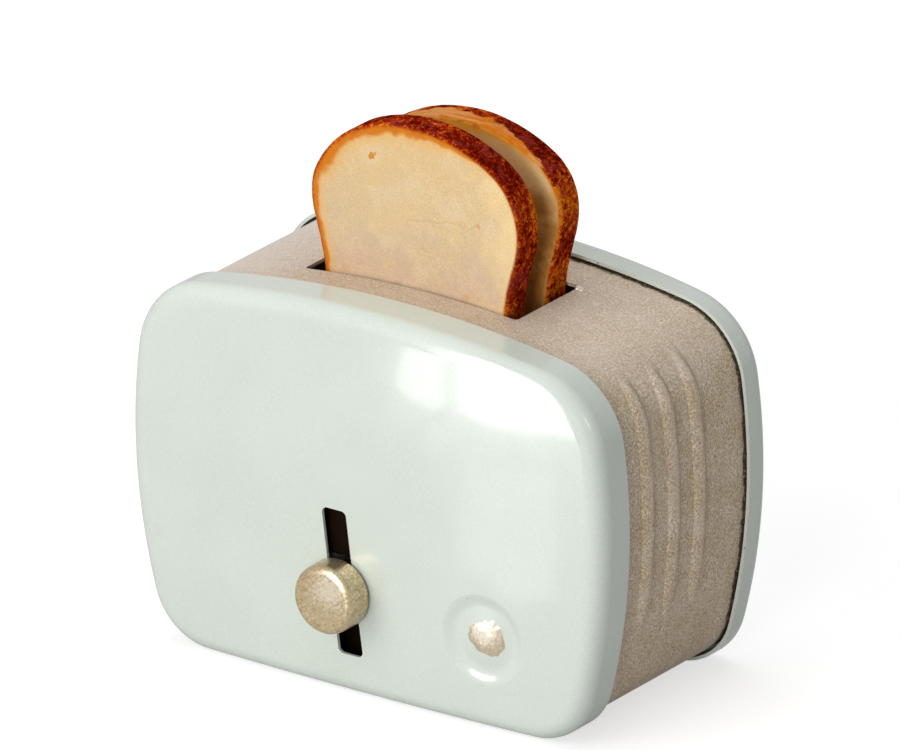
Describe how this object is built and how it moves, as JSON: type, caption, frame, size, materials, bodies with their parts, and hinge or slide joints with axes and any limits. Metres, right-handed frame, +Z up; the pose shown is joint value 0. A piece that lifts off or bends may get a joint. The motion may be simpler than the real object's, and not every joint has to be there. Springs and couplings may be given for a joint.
{
  "type": "toy toaster",
  "caption": "Doll's-house toaster: domed pressed covers over a beaded band, a slot lever that raises a cradle, and lift-out bread slices.",
  "frame": {"origin": "on the surface the toaster stands on, below the middle of its box, lever knob included", "axes": "+Z up; the lever's front cover faces -Y; +X to the right seen from the front"},
  "size_m": [0.066, 0.0395, 0.0658],
  "materials": {
    "enamel_mint": "gloss",
    "bronze_paint": "satin, grainy",
    "bare_tin": "dull",
    "pale_brass": "brushed",
    "spring_steel": "satin",
    "rivet_aluminium": "satin",
    "painted_wood": "painted, matt"
  },
  "bodies": {
    "housing": {"front_cover": "enamel_mint", "rear_cover": "enamel_mint", "body_band": "bronze_paint", "seam_strap": "bare_tin", "slot_guide": "bare_tin"},
    "carriage": {"lever_knob": "pale_brass", "lever_stem": "pale_brass", "friction_spring": "spring_steel", "carriage_arm": "bare_tin", "bread_cradle": "bare_tin", "cradle_rivets": "rivet_aluminium"},
    "front_bread": {"front_slice": "painted_wood"},
    "rear_bread": {"rear_slice": "painted_wood"}
  },
  "joints": [
    {"name": "lever_slide", "type": "slide", "parent": "housing", "child": "carriage", "axis": [0, 0, 1], "range_m": [-0.0061, 0.0081]},
    {"name": "front_slice_lift", "type": "slide", "parent": "carriage", "child": "front_bread", "axis": [0, 0, 1], "range_m": [0, 0.03]},
    {"name": "rear_slice_lift", "type": "slide", "parent": "carriage", "child": "rear_bread", "axis": [0, 0, 1], "range_m": [0, 0.03]}
  ]
}
